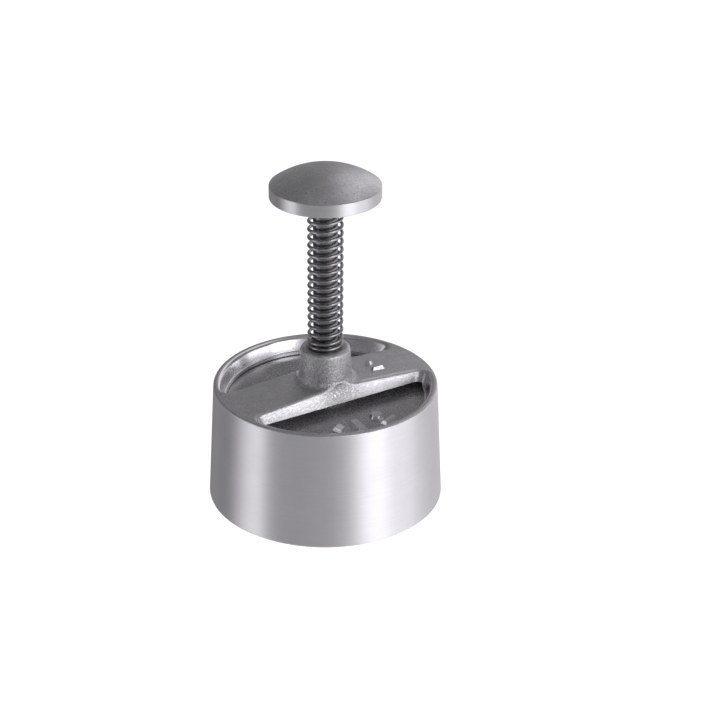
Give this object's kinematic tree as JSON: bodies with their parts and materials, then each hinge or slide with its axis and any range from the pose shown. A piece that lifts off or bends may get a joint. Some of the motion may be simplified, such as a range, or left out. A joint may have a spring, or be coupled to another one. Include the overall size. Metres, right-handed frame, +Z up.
{
  "type": "patty press",
  "caption": "Hand patty press: a round cast cup with a bridge and hub, a sprung plunger rod with a domed palm knob, and a round pressing plate that pushes the patty out.",
  "frame": {"origin": "centre of the cup's open rim, on the surface it stands on", "axes": "+Z up through the rod and knob, and the bridge across the cup's closed end runs along X"},
  "size_m": [0.108, 0.1078, 0.1587],
  "materials": {
    "cup_aluminium": "satin",
    "plate_aluminium": "satin",
    "knob_aluminium": "satin",
    "rod_steel": "satin",
    "spring_steel": "satin",
    "washer_steel": "satin",
    "fastener_steel": "satin",
    "bush_bronze": "satin"
  },
  "bodies": {
    "cup": {"cup_casting": "cup_aluminium", "guide_bush": "bush_bronze", "spring_seat_washer": "washer_steel", "return_spring": "spring_steel"},
    "spring_cap": {"spring_cap_washer": "washer_steel"},
    "plunger": {"plunger_rod": "rod_steel", "palm_knob": "knob_aluminium", "knob_lock_pin": "fastener_steel", "plunger_plate": "plate_aluminium", "plate_screw": "fastener_steel"}
  },
  "joints": [
    {"name": "plunger_travel", "type": "slide", "parent": "cup", "child": "spring_cap", "axis": [0, 0, -1], "range_m": [0, 0.0405], "stiffness_N_per_m": 874, "springref_m": -0.0084, "deforming": ["return_spring"]},
    {"name": "plunger_spin", "type": "hinge", "parent": "spring_cap", "child": "plunger", "pos_m": [0, 0, 0.1], "axis": [0, 0, 1], "continuous": true}
  ]
}
